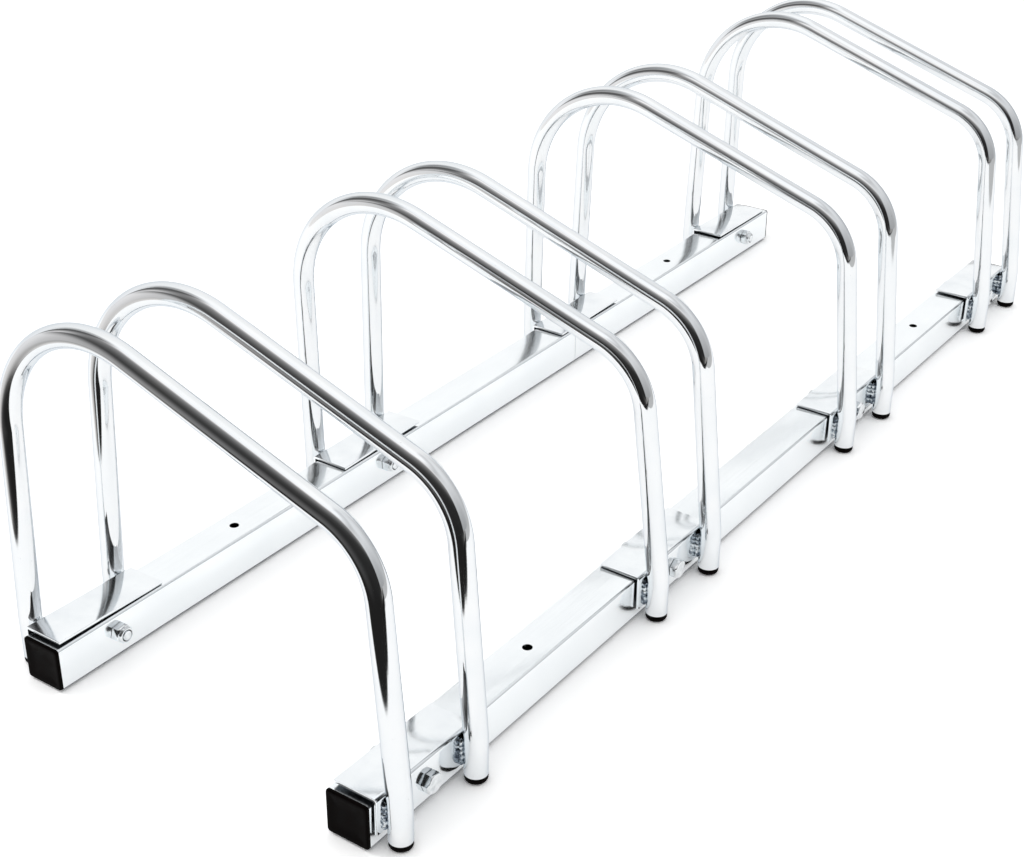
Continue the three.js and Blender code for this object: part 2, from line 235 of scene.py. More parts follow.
bpy.ops.object.select_all(action="DESELECT")
bpy.ops.mesh.primitive_plane_add(size=SCREEN_SIZE, location=(-0.70, 0.55, SCREEN_SIZE / 2),
                                 rotation=(0.0, math.pi / 2, 0.0))
screen = bpy.context.object
screen.name = "dark_screen"
bpy.ops.object.transform_apply(location=True, rotation=True, scale=True)
finish, tree, place = empty_finish("dark_screen")
split = add_node(tree, "ShaderNodeSeparateXYZ", inputs={"Vector": place})
y, z = split.outputs["Y"], split.outputs["Z"]
raised = maths(tree, "ADD", z, maths(tree, "MULTIPLY", y, 0.25))
middle = by_place(tree, y, -SIDE_REACH, SIDE_REACH, [
    (-1.10, 0.30), (-0.85, 0.08), (-0.65, 0.028), (-0.50, 0.018), (-0.24, 0.018),
    (-0.15, 0.045), (-0.05, 0.09), (0.05, 0.14), (0.15, 0.21), (0.24, 0.34),
    (0.34, 0.55), (0.46, 0.70), (0.60, 0.80), (0.90, 0.88)])
upper = by_place(tree, raised, 0.0, HEIGHT_REACH, [
    (0.20, 0.022), (0.30, 0.030), (0.40, 0.055), (0.50, 0.11), (0.60, 0.17), (0.70, 0.22),
    (0.80, 0.29), (0.90, 0.39), (1.0, 0.51), (1.1, 0.66), (1.2, 0.82), (1.35, 0.98),
    (1.5, 1.08)])
beyond = by_place(tree, z, 0.0, HEIGHT_REACH, [
    (0.46, 0.78), (0.54, 0.40), (0.64, 0.20), (0.78, 0.11), (1.0, 0.10), (1.2, 0.17),
    (1.4, 0.32), (1.6, 0.62), (1.8, 0.95)])
step = maths(tree, "SUBTRACT", z, maths(tree, "MULTIPLY", y, 0.2))
tilted = maths(tree, "SUBTRACT", y, maths(tree, "MULTIPLY", z, 0.9))
tone = mix_colours(tree, fade(tree, z, 0.06, 0.15), screen_foot(tree, tilted), middle)
tone = mix_colours(tree, fade(tree, step, 0.17, 0.33), tone, upper)
tone = mix_colours(tree, maths(tree, "MULTIPLY", fade(tree, y, 0.30, 0.65),
                               fade(tree, z, 0.40, 0.46)), tone, beyond)
solid = maths(tree, "MULTIPLY", fade(tree, y, -1.40, -1.05), maths(
    tree, "MULTIPLY", fade(tree, y, 2.45, 1.9), fade(tree, z, 1.85, 1.45)))
glow = add_node(tree, "ShaderNodeEmission", inputs={"Color": tone})
clear = add_node(tree, "ShaderNodeBsdfTransparent")
mixed = add_node(tree, "ShaderNodeMixShader", inputs={"Fac": solid})
tree.links.new(clear.outputs[0], mixed.inputs[1])
tree.links.new(glow.outputs[0], mixed.inputs[2])
add_node(tree, "ShaderNodeOutputMaterial", inputs={"Surface": mixed.outputs[0]})
screen.data.materials.append(finish)
for kind in ("camera", "diffuse", "transmission", "volume_scatter", "shadow"):
    setattr(screen, f"visible_{kind}", False)

bpy.ops.object.light_add(type="AREA", location=(-0.9, 1.5, 1.7))
window = bpy.context.object
window.name = "soft_window"
window.rotation_euler = (-window.location).to_track_quat("-Z", "Y").to_euler()
window.data.shape = "DISK"
window.data.size = 0.7
window.data.energy = 8.0
window.visible_glossy = False


# ---------------------------------------------------------------- the hoops
# Eight hoops of 16 mm steel tube with a 1.2 mm wall, each bent at four places and then
# bright plated. They were welded to the brackets in pairs and lean a little, each its own way.
TUBE_RADIUS = 0.008
TUBE_WALL = 0.0012
TUBE_BOTTOM = 0.0055
LEG_Y = 0.160
LEG_STRAIGHT = 0.034
BENDS = (
    (Vector((0.0, -LEG_Y, LEG_STRAIGHT)), 0.100, 3),
    (Vector((0.0, -0.143, 0.1985)), 0.051, 26),
    (Vector((0.0, 0.153, 0.297)), 0.086, 44),
    (Vector((0.0, LEG_Y, LEG_STRAIGHT)), 0.100, 3),
)
PAIR_X = (-0.446, -0.1535, 0.1525, 0.447)
HOOP_SPACING = 0.075
HOOP_LEAN = (0.031, 0.038, -0.044, -0.015, -0.009, 0.023, 0.023, -0.021)


def hoop_middle(number):
    """Where the hoop of this number stands along X."""
    return PAIR_X[(number - 1) // 2] + HOOP_SPACING * (-0.5 if number % 2 else 0.5)


def begin(add, name, **place):
    """Adds a primitive as a named piece with its place in its mesh, open in edit mode."""
    bpy.ops.object.select_all(action="DESELECT")
    add(**place)
    piece = bpy.context.object
    piece.name = name
    bpy.ops.object.transform_apply(location=True, rotation=True, scale=True)
    bpy.ops.object.mode_set(mode="EDIT")
    bpy.ops.mesh.select_all(action="SELECT")
    return piece


def pick(piece, kind, test):
    """Selects the faces, edges or points whose middle (and normal) pass the test."""
    bpy.ops.mesh.select_mode(type=kind)
    bpy.ops.mesh.select_all(action="DESELECT")
    mesh = bmesh.from_edit_mesh(piece.data)
    if kind == "FACE":
        for face in mesh.faces:
            face.select = test(face.calc_center_median(), face.normal)
    elif kind == "EDGE":
        for edge in mesh.edges:
            one, other = (vert.co for vert in edge.verts)
            edge.select = test((one + other) / 2, (other - one).normalized())
    else:
        for vert in mesh.verts:
            vert.select = test(vert.co, vert.normal)
    mesh.select_flush_mode()
    bmesh.update_edit_mesh(piece.data)


def tidy_shell():
    """Merges what spin and extrude left double, and turns every face outwards."""
    bpy.ops.mesh.select_mode(type="VERT")
    bpy.ops.mesh.select_all(action="SELECT")
    bpy.ops.mesh.remove_doubles(threshold=0.000002)
    bpy.ops.mesh.normals_make_consistent(inside=False)


def close(piece, *modifiers, smooth=35.0):
    """Leaves edit mode, adds the modifiers in their order and applies them."""
    bpy.ops.object.mode_set(mode="OBJECT")
    for kind, settings in modifiers:
        modifier = piece.modifiers.new(kind.lower(), kind)
        for name, value in settings.items():
            setattr(modifier, name, value)
        bpy.ops.object.modifier_apply(modifier=modifier.name)
    bpy.ops.object.shade_smooth_by_angle(angle=math.radians(smooth))


def copy_of(piece, name, move=Matrix.Identity(4)):
    """A copy with its own mesh, moved in its mesh."""
    made = piece.copy()
    made.data = piece.data.copy()
    made.name = name
    made.data.transform(move)
    bpy.context.scene.collection.objects.link(made)
    return made


def fit(piece, finish, slot, *nodes):
    """The piece gets its finish, rides on the rack's one body and stands for the nodes."""
    piece.data.materials.clear()
    piece.data.materials.append(finish)
    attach(piece, "root")
    if nodes:
        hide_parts(*nodes)


def new_finish(name):
    """A finish with its node tree, its shader and the coordinates to pattern it by."""
    made, tree, place = empty_finish(name)
    shader = add_node(tree, "ShaderNodeBsdfPrincipled")
    add_node(tree, "ShaderNodeOutputMaterial", inputs={"Surface": shader.outputs[0]})
    return made, tree, shader, place


def noise(tree, place, scale, detail=3.0, stretch=None):
    """A noise pattern, fine along the axes that stretch multiplies."""
    if stretch:
        place = add_node(tree, "ShaderNodeMapping", inputs={
            "Vector": place, "Scale": stretch}).outputs[0]
    made = add_node(tree, "ShaderNodeTexNoise",
                    inputs={"Vector": place, "Scale": scale, "Detail": detail})
    return made.outputs["Fac"]


def between(tree, value, low, high, start=0.3, end=0.7):
    """Spreads a pattern's start to end over the values low to high."""
    made = add_node(tree, "ShaderNodeMapRange", inputs={
        "Value": value, "From Min": start, "From Max": end, "To Min": low, "To Max": high})
    return made.outputs["Result"]


def bumped(tree, shader, height, distance, strength=1.0):
    bump = add_node(tree, "ShaderNodeBump", inputs={
        "Height": height, "Distance": distance, "Strength": strength})
    tree.links.new(bump.outputs[0], shader.inputs["Normal"])


chrome, tree, shader, place = new_finish("plated_tube")
shader.inputs["Metallic"].default_value = 1.0
shader.inputs["Specular Tint"].default_value = (0.70, 0.74, 0.78, 1.0)
haze = noise(tree, place, 38.0)
grain = noise(tree, place, 900.0, 2.0)
specks = fade(tree, noise(tree, place, 420.0, 2.0), 0.75, 0.81)
tone = mix_colours(tree, between(tree, haze, 0.0, 1.0), grey(0.885, (0.985, 1.0, 1.01)),
                   grey(0.855, (0.97, 1.0, 1.02)))
tone = mix_colours(tree, maths(tree, "MULTIPLY", specks, 0.5), tone, grey(0.40))
tree.links.new(tone, shader.inputs["Base Color"])
rough = maths(tree, "ADD", between(tree, haze, 0.035, 0.08),
              maths(tree, "MULTIPLY", specks, 0.15))
tree.links.new(rough, shader.inputs["Roughness"])
bumped(tree, shader, grain, 0.00001, 0.4)

hoop = begin(bpy.ops.mesh.primitive_circle_add, "hoop", vertices=40, radius=TUBE_RADIUS,
             location=(0.0, -LEG_Y, TUBE_BOTTOM))
here = Vector((0.0, -LEG_Y, TUBE_BOTTOM))
last_foot = Vector((0.0, LEG_Y, TUBE_BOTTOM))
for index, (corner, radius, steps) in enumerate(BENDS):
    heading = (corner - here).normalized()
    following = BENDS[index + 1][0] if index + 1 < len(BENDS) else last_foot
    leaving = (following - corner).normalized()
    angle = heading.angle(leaving)
    setback = radius * math.tan(angle / 2)
    start = corner - heading * setback
    bpy.ops.mesh.extrude_edges_move(TRANSFORM_OT_translate={"value": start - here})
    centre = start + Vector((0.0, heading.z, -heading.y)) * radius
    bpy.ops.mesh.spin(steps=steps, angle=angle, center=centre, axis=(1.0, 0.0, 0.0))
    here = corner + leaving * setback
bpy.ops.mesh.extrude_edges_move(TRANSFORM_OT_translate={"value": last_foot - here})
tidy_shell()
close(hoop, ("SOLIDIFY", {"thickness": TUBE_WALL, "offset": -1.0}),
      ("BEVEL", {"width": 0.0003, "segments": 2, "limit_method": "ANGLE",
                 "angle_limit": math.radians(60)}))
for number, lean in enumerate(HOOP_LEAN, 1):
    middle = hoop_middle(number)
    made = copy_of(hoop, f"tube_hoop_{number}")
    for vert in made.data.vertices:
        vert.co.x += middle + lean * max(vert.co.z - LEG_STRAIGHT, 0.0)
    fit(made, chrome, "plated_tube", f"hoop_{number}")
bpy.data.objects.remove(hoop)

# ---------------------------------------------------------------- the foot plugs
# Sixteen black plastic plugs, pushed into the hoops' ends: a stem inside the tube, a thin
# rim against its end and a domed foot with a small flat.
FOOT_RADIUS = 0.0078
FOOT_HEIGHT = TUBE_BOTTOM - 0.0003

plastic, tree, shader, place = new_finish("black_plastic")
mottle = noise(tree, place, 160.0, 4.0)
pebble = noise(tree, place, 1500.0, 2.0)
tone = mix_colours(tree, between(tree, mottle, 0.0, 1.0), grey(0.0012, (1.2, 0.80, 0.76)),
                   grey(0.0030, (1.4, 0.90, 0.80)))
tree.links.new(tone, shader.inputs["Base Color"])
tree.links.new(between(tree, mottle, 0.38, 0.55), shader.inputs["Roughness"])
shader.inputs["Specular IOR Level"].default_value = 0.02
bumped(tree, shader, pebble, 0.00004, 0.5)

foot = begin(bpy.ops.mesh.primitive_cylinder_add, "foot", vertices=40, radius=FOOT_RADIUS,
             depth=FOOT_HEIGHT, location=(0.0, 0.0, FOOT_HEIGHT / 2))
pick(foot, "FACE", lambda middle, normal: normal.z > 0.9)
bpy.ops.mesh.inset(thickness=FOOT_RADIUS - 0.0060)
bpy.ops.mesh.extrude_region_move(TRANSFORM_OT_translate={"value": (0.0, 0.0, 0.009)})
bpy.ops.mesh.inset(thickness=0.0010)
bpy.ops.mesh.extrude_region_move(TRANSFORM_OT_translate={"value": (0.0, 0.0, -0.008)})
pick(foot, "EDGE", lambda middle, along: middle.z < 0.0001 and abs(along.z) < 0.5)
bpy.ops.mesh.bevel(offset=0.0030, segments=7, profile=0.5)
pick(foot, "EDGE", lambda middle, along: abs(middle.z - FOOT_HEIGHT) < 0.0001
     and middle.xy.length > 0.007 and abs(along.z) < 0.5)
bpy.ops.mesh.bevel(offset=0.0004, segments=3, profile=0.5)
close(foot)
for number in range(1, 9):
    middle = hoop_middle(number)
    for side, y in (("front", -LEG_Y), ("back", LEG_Y)):
        made = copy_of(foot, f"plug_{side}_{number}", Matrix.Translation((middle, y, 0.0)))
        fit(made, plastic, "black_plastic", f"foot_{side}_{number}")
bpy.data.objects.remove(foot)

# ---------------------------------------------------------------- the rails
# Two 32 mm square steel tubes, zinc plated, each in two lengths: the longer one's end is
# swaged down and slides into the shorter one. Each length has one hole for a floor screw,
# and its underside has a dark finish that is painted shade.
RAIL_SIZE = 0.032
RAIL_WALL = 0.0015
RAIL_CORNER = 0.0022
RAIL_MIDDLE_Y = 0.1325
RAIL_MIDDLE_Z = 0.0175
RAIL_END = 0.4977
SEAM_X = 0.1225
SEAM_GAP = 0.00035
SPIGOT_LENGTH = 0.052
SCREW_HOLE_X = 0.3135
SCREW_HOLE_RADIUS = 0.0036
UNDERSIDE_NORMAL_Z = -0.45

zinc, tree, shader, place = new_finish("plated_rail")
shader.inputs["Metallic"].default_value = 1.0
cloud = noise(tree, place, 26.0, 5.0)
lines = noise(tree, place, 1.0, 3.0, (14.0, 620.0, 620.0))
grain = noise(tree, place, 700.0, 3.0)
tone = mix_colours(tree, between(tree, cloud, 0.0, 1.0), grey(0.98, (0.965, 0.995, 1.01)),
                   grey(0.945, (0.955, 0.99, 1.01)))
tone = mix_colours(tree, between(tree, lines, 0.0, 0.2), tone, grey(0.88, (0.95, 0.99, 1.01)))
tree.links.new(tone, shader.inputs["Base Color"])
rough = maths(tree, "ADD", between(tree, cloud, 0.11, 0.18), between(tree, lines, 0.0, 0.05))
tree.links.new(rough, shader.inputs["Roughness"])
bumped(tree, shader, maths(tree, "ADD", grain, lines), 0.000012, 0.5)

# A dark finish of painted shade for the rails' undersides and the brackets' faces in the gap
# over the rail, with a random mottle.
painted_shade_zinc, tree, shader, place = new_finish("painted_shade_underside")
shader.inputs["Metallic"].default_value = 1.0
shade_mottle = noise(tree, place, 320.0, 4.0)
tree.links.new(mix_colours(tree, between(tree, shade_mottle, 0.0, 1.0), grey(0.045, (0.8, 0.95, 1.15)),
                           grey(0.10, (0.85, 0.97, 1.1))), shader.inputs["Base Color"])
tree.links.new(between(tree, shade_mottle, 0.35, 0.6), shader.inputs["Roughness"])
bumped(tree, shader, shade_mottle, 0.00003)


def rail_shell(name, start, end):
    """A square tube between two stations along X, still a thin skin without its ends."""
    piece = begin(bpy.ops.mesh.primitive_cube_add, name, size=1.0,
                  location=((start + end) / 2, 0.0, RAIL_MIDDLE_Z),
                  scale=(end - start, RAIL_SIZE, RAIL_SIZE))
    pick(piece, "EDGE", lambda middle, along: abs(along.x) > 0.9)
    bpy.ops.mesh.bevel(offset=RAIL_CORNER, segments=5, profile=0.5)
    pick(piece, "FACE", lambda middle, normal: abs(normal.x) > 0.9)
    bpy.ops.mesh.delete(type="ONLY_FACE")
    return piece


def combine(piece, other, operation):
    """Cuts the piece by the other, joins them or keeps what they share; the other goes."""
    bpy.ops.object.select_all(action="DESELECT")
    piece.select_set(True)
    bpy.context.view_layer.objects.active = piece
    modifier = piece.modifiers.new("combined", "BOOLEAN")
    modifier.operation = operation
    modifier.object = other
    bpy.ops.object.modifier_apply(modifier=modifier.name)
    bpy.data.objects.remove(other)


def cut_round(piece, radius, depth, location, rotation=(0.0, 0.0, 0.0)):
    """Drills a round hole in the piece."""
    bpy.ops.object.select_all(action="DESELECT")
    bpy.ops.mesh.primitive_cylinder_add(vertices=32, radius=radius, depth=depth,
                                        location=location, rotation=rotation)
    combine(piece, bpy.context.object, "DIFFERENCE")


long_rail = rail_shell("long_rail", -RAIL_END, SEAM_X - SEAM_GAP / 2)
pick(long_rail, "EDGE", lambda middle, along: middle.x > SEAM_X - 0.001
     and abs(along.x) < 0.5)
bpy.ops.mesh.extrude_edges_move(TRANSFORM_OT_translate={"value": (-0.0005, 0.0, 0.0)})
swage = (RAIL_SIZE - 2 * RAIL_WALL - 0.0006) / RAIL_SIZE
bpy.ops.transform.resize(value=(1.0, swage, swage),
                         center_override=(SEAM_X, 0.0, RAIL_MIDDLE_Z))
bpy.ops.mesh.extrude_edges_move(
    TRANSFORM_OT_translate={"value": (SPIGOT_LENGTH, 0.0, 0.0)})
tidy_shell()
close(long_rail, ("SOLIDIFY", {"thickness": RAIL_WALL, "offset": -1.0}))
cut_round(long_rail, SCREW_HOLE_RADIUS, 0.08, (-SCREW_HOLE_X, 0.0, RAIL_MIDDLE_Z))
short_rail = rail_shell("short_rail", SEAM_X + SEAM_GAP / 2, RAIL_END)
tidy_shell()
close(short_rail, ("SOLIDIFY", {"thickness": RAIL_WALL, "offset": -1.0}))
cut_round(short_rail, SCREW_HOLE_RADIUS, 0.08, (SCREW_HOLE_X, 0.0, RAIL_MIDDLE_Z))
for side, y in (("front", -RAIL_MIDDLE_Y), ("back", RAIL_MIDDLE_Y)):
    move = Matrix.Translation((0.0, y, 0.0))
    for length, shell in (("long", long_rail), ("short", short_rail)):
        made = copy_of(shell, f"square_rail_{side}_{length}", move)
        fit(made, zinc, "plated_rail", f"rail_{side}_{length}")
        # Faces that look down get the dark finish of painted shade.
        made.data.materials.append(painted_shade_zinc)
        for face in made.data.polygons:
            face.material_index = int(face.normal.z < UNDERSIDE_NORMAL_Z)
bpy.data.objects.remove(long_rail)
bpy.data.objects.remove(short_rail)

# ---------------------------------------------------------------- the end caps
# Four black plastic plugs that close the rails' ends: a hollow square stem inside the tube,
# and a flat flange as big as the tube with a rounded rim and a slightly sunken face.
CAP_FLANGE = 0.0022
CAP_RIM = 0.0010
CAP_MIDDLE = (0.0, 0.0, RAIL_MIDDLE_Z)
# The steps of the sunken face and of the hollow stem: how far along X, then how wide.
CAP_FACE_RINGS = ((0.0, 0.0262), (0.00022, 0.0248), (0.00008, 0.0120))
CAP_STEM_RINGS = ((0.0, 0.0284), (0.0135, 0.0276), (0.0, 0.0246), (-0.0125, 0.0246))


def step_cap(ahead, before, after):
    """Draws the picked end face out along X and takes its width from before to after."""
    bpy.ops.mesh.extrude_region_move(TRANSFORM_OT_translate={"value": (ahead, 0.0, 0.0)})
    bpy.ops.transform.resize(value=(1.0, after / before, after / before),
                             center_override=CAP_MIDDLE)
    return after


cap = begin(bpy.ops.mesh.primitive_cube_add, "cap", size=1.0,
            location=(-0.5 + (CAP_RIM + CAP_FLANGE) / 2, 0.0, RAIL_MIDDLE_Z),
            scale=(CAP_FLANGE - CAP_RIM, RAIL_SIZE, RAIL_SIZE))
pick(cap, "EDGE", lambda middle, along: abs(along.x) > 0.9)
bpy.ops.mesh.bevel(offset=RAIL_CORNER, segments=5, profile=0.5)
pick(cap, "FACE", lambda middle, normal: normal.x < -0.9999)
width = RAIL_SIZE
for step in range(1, 5):
    angle, before = math.radians(22.5 * step), math.radians(22.5 * (step - 1))
    width = step_cap(-CAP_RIM * (math.sin(angle) - math.sin(before)), width,
                     RAIL_SIZE - 2 * CAP_RIM * (1 - math.cos(angle)))
for ahead, after in CAP_FACE_RINGS:
    width = step_cap(ahead, width, after)
pick(cap, "FACE", lambda middle, normal: normal.x > 0.9999)
width = RAIL_SIZE
for ahead, after in CAP_STEM_RINGS:
    width = step_cap(ahead, width, after)
tidy_shell()
close(cap)
for side, y in (("front", -RAIL_MIDDLE_Y), ("back", RAIL_MIDDLE_Y)):
    for end, turn in (("left", 0.0), ("right", math.pi)):
        move = Matrix.Translation((0.0, y, 0.0)) @ Matrix.Rotation(turn, 4, "Z")
        made = copy_of(cap, f"end_cap_{side}_{end}", move)
        fit(made, plastic, "black_plastic", f"cap_{side}_{end}")
bpy.data.objects.remove(cap)

# ---------------------------------------------------------------- the brackets
# Eight angles folded from 2 mm steel plate, zinc plated. Each hangs over its rail from one
# bolt and carries two legs, so it sits a little crooked and leaves a gap under its top.
# Its faces towards the rail have the same dark finish of painted shade as the rail's underside.
PLATE = 0.002
BRACKET_LENGTH = 0.094
BRACKET_OFFSET = -0.002
SIDE_PLATE_Y = -0.1517
SIDE_PLATE_BOTTOM = 0.010
TOP_PLATE_Z = 0.0365
TOP_PLATE_EDGE_Y = -0.1185
BOLT_Z = 0.020
BOLT_HOLE_RADIUS = 0.0043
LYING = (math.pi / 2, 0.0, 0.0)
# How each pair's brackets sit: the turn about the bolt in degrees, then the lift in metres.
BRACKET_SET = ((1.1, 0.0004), (-0.9, 0.0004), (-0.6, 0.0002), (0.5, 0.0001))

plate_zinc, tree, shader, place = new_finish("plated_plate")
shader.inputs["Metallic"].default_value = 1.0
cloud = noise(tree, place, 45.0, 5.0)
lines = noise(tree, place, 1.0, 3.0, (520.0, 16.0, 16.0))
tone = mix_colours(tree, between(tree, cloud, 0.0, 1.0), grey(0.95, (0.965, 0.995, 1.01)),
                   grey(0.87, (0.95, 0.99, 1.02)))
tree.links.new(tone, shader.inputs["Base Color"])
rough = maths(tree, "ADD", between(tree, cloud, 0.07, 0.13), between(tree, lines, 0.0, 0.03))
tree.links.new(rough, shader.inputs["Roughness"])
bumped(tree, shader, maths(tree, "ADD", noise(tree, place, 800.0, 2.0), lines), 0.00001, 0.5)

side_middle = (0.0, SIDE_PLATE_Y, (SIDE_PLATE_BOTTOM + TOP_PLATE_Z) / 2)
angle_plate = begin(bpy.ops.mesh.primitive_plane_add, "angle_plate", size=1.0,
                    location=side_middle, rotation=LYING)
bpy.ops.transform.resize(value=(BRACKET_LENGTH, 1.0, TOP_PLATE_Z - SIDE_PLATE_BOTTOM),
                         center_override=side_middle)
pick(angle_plate, "EDGE", lambda middle, along: middle.z > TOP_PLATE_Z - 0.0001)
bpy.ops.mesh.extrude_edges_move(TRANSFORM_OT_translate={
    "value": (0.0, TOP_PLATE_EDGE_Y - SIDE_PLATE_Y, 0.0)})
pick(angle_plate, "EDGE", lambda middle, along: middle.z > TOP_PLATE_Z - 0.0001
     and middle.y < SIDE_PLATE_Y + 0.0001)
bpy.ops.mesh.bevel(offset=0.0026, segments=7, profile=0.5)
bpy.ops.mesh.select_all(action="SELECT")
bpy.ops.mesh.normals_make_consistent(inside=False)
close(angle_plate)
outward = sum((face.normal.z for face in angle_plate.data.polygons
               if face.center.z > TOP_PLATE_Z - 0.0001), 0.0) > 0
bpy.ops.object.mode_set(mode="EDIT")
close(angle_plate, ("SOLIDIFY", {"thickness": PLATE, "offset": -1.0 if outward else 1.0}),
      ("BEVEL", {"width": 0.00035, "segments": 2, "limit_method": "ANGLE",
                 "angle_limit": math.radians(60)}))
cut_round(angle_plate, BOLT_HOLE_RADIUS, 0.02, (0.0, SIDE_PLATE_Y, BOLT_Z), LYING)

painted_shade_faces = [int((face.normal.z < -0.9 and face.center.z > TOP_PLATE_Z - 1.5 * PLATE)
                    or (face.normal.y > 0.9 and face.center.y < SIDE_PLATE_Y + 1.5 * PLATE))
                for face in angle_plate.data.polygons]


def set_bracket(pair, side):
    """Where a front bracket goes: its pair's place, crooked about its bolt, maybe turned."""
    degrees, lift = BRACKET_SET[pair]
    crooked = (Matrix.Translation((0.0, 0.0, BOLT_Z + lift))
               @ Matrix.Rotation(math.radians(degrees), 4, "Y")
               @ Matrix.Translation((0.0, 0.0, -BOLT_Z)))
    turned = Matrix.Rotation(math.pi if side == "back" else 0.0, 4, "Z")
    return Matrix.Translation((PAIR_X[pair], 0.0, 0.0)) @ crooked @ turned


for pair in range(4):
    for side, ahead in (("front", 1.0), ("back", -1.0)):
        offset = Matrix.Translation((ahead * BRACKET_OFFSET, 0.0, 0.0))
        made = copy_of(angle_plate, f"angle_{side}_{pair + 1}",
                       set_bracket(pair, side) @ offset)
        fit(made, plate_zinc, "plated_plate", f"bracket_{side}_{pair + 1}")
        # The faces towards the rail get the dark finish of painted shade.
        made.data.materials.append(painted_shade_zinc)
        for face, in_painted_shade in zip(made.data.polygons, painted_shade_faces):
            face.material_index = in_painted_shade
bpy.data.objects.remove(angle_plate)

# ---------------------------------------------------------------- the welds
# Each leg is welded to its bracket by a short seam down both of its sides: a row of
# overlapping puddles, blued by the heat under the plating and bright on their crests.
BEAD_BOTTOM = 0.0115
BEAD_TOP = 0.0320
BEAD_OFFSET = 0.0056
BEAD_Y = -0.1527
PUDDLES = 5

weld, tree, shader, place = new_finish("plated_weld")
shader.inputs["Metallic"].default_value = 1.0
blotch = noise(tree, place, 330.0, 4.0)
crust = noise(tree, place, 900.0, 4.0)
tone = ramp(tree, blotch, [(0.34, grey(0.05, (0.75, 0.95, 1.35))),
                           (0.50, grey(0.34, (0.84, 0.98, 1.12))),
                           (0.62, grey(0.82, (0.96, 1.0, 1.02)))])
tree.links.new(tone, shader.inputs["Base Color"])
tree.links.new(between(tree, crust, 0.10, 0.34), shader.inputs["Roughness"])
bumped(tree, shader, crust, 0.00018, 0.8)

bead = begin(bpy.ops.mesh.primitive_cylinder_add, "bead", vertices=16, radius=0.0015,
             depth=BEAD_TOP - BEAD_BOTTOM,
             location=(0.0, BEAD_Y, (BEAD_BOTTOM + BEAD_TOP) / 2))
pick(bead, "EDGE", lambda middle, along: abs(along.z) > 0.9)
bpy.ops.mesh.subdivide(number_cuts=48)
bpy.ops.object.mode_set(mode="OBJECT")
for vert in bead.data.vertices:
    along = (vert.co.z - BEAD_BOTTOM) / (BEAD_TOP - BEAD_BOTTOM)
    ripple = abs(math.sin(math.pi * (PUDDLES * along + 0.12 * math.sin(9 * along))))
    ends = math.sqrt(max(1.0 - (2.0 * along - 1.0) ** 8, 0.02))
    swell = (0.72 + 0.42 * ripple ** 0.6) * ends
    vert.co.x *= swell * 1.15
    vert.co.y = BEAD_Y + (vert.co.y - BEAD_Y) * swell
clouds = bpy.data.textures.new("weld_lumps", "CLOUDS")
clouds.noise_scale = 0.0028
bpy.ops.object.mode_set(mode="EDIT")
close(bead, ("DISPLACE", {"texture": clouds, "strength": 0.0007, "mid_level": 0.5,
                          "texture_coords": "LOCAL"}), smooth=60.0)
for pair in range(4):
    for side in ("front", "back"):
        for leg in (1, 2):
            for edge in (-1, 1):
                across = HOOP_SPACING * (leg - 1.5) + edge * BEAD_OFFSET
                move = set_bracket(pair, side) @ Matrix.Translation((across, 0.0, 0.0))
                made = copy_of(bead, f"weld_{side}_{pair + 1}_{leg}_{'ab'[edge > 0]}", move)
                fit(made, weld, "plated_plate")
bpy.data.objects.remove(bead)

# ---------------------------------------------------------------- the bolts
# One M8 hexagon bolt through each bracket and rail, zinc plated, its head against the
# bracket between the two legs.
HEX_ACROSS = 0.013
HEX_RADIUS = HEX_ACROSS / 2 / math.cos(math.pi / 6)
HEAD_FACE_Y = -0.1520
HEAD_HEIGHT = 0.0053
NUT_FACE_Y = -0.1162
SHANK_RADIUS = 0.0037
SHANK_PAST_FACE = 0.0088
SHANK_IN_HEAD = 0.001

steel, tree, shader, place = new_finish("fastener_steel")
shader.inputs["Metallic"].default_value = 1.0
cloud = noise(tree, place, 240.0, 4.0)
tone = mix_colours(tree, between(tree, cloud, 0.0, 1.0), grey(0.90, (0.97, 0.995, 1.01)),
                   grey(0.68, (0.96, 1.0, 1.03)))
tree.links.new(tone, shader.inputs["Base Color"])
tree.links.new(between(tree, cloud, 0.06, 0.14), shader.inputs["Roughness"])
bumped(tree, shader, noise(tree, place, 1300.0, 3.0), 0.00002, 0.6)


def set_fastener(pair, side, degrees):
    """Where a front bolt or nut goes, turned about its own axis as it was tightened."""
    tightened = (Matrix.Translation((0.0, 0.0, BOLT_Z))
                 @ Matrix.Rotation(math.radians(degrees), 4, "Y")
                 @ Matrix.Translation((0.0, 0.0, -BOLT_Z)))
    turned = Matrix.Rotation(math.pi if side == "back" else 0.0, 4, "Z")
    return Matrix.Translation((PAIR_X[pair], 0.0, 0.0)) @ turned @ tightened


def turn_off_corners(piece, radius, outer_y, inner_y, chamfer):
    """Turns the far corners off a hexagon that lies along Y, outer face at outer_y."""
    depth = abs(outer_y - inner_y)
    cone = begin(bpy.ops.mesh.primitive_cylinder_add, "cone", vertices=64, radius=radius,
                 depth=depth, location=(0.0, (outer_y + inner_y) / 2, BOLT_Z),
                 rotation=LYING)
    pick(cone, "EDGE", lambda middle, along: abs(middle.y - outer_y) < 0.0001
         and abs(along.y) < 0.5)
    bpy.ops.mesh.bevel(offset=chamfer, segments=1)
    bpy.ops.object.mode_set(mode="OBJECT")
    combine(piece, cone, "INTERSECT")


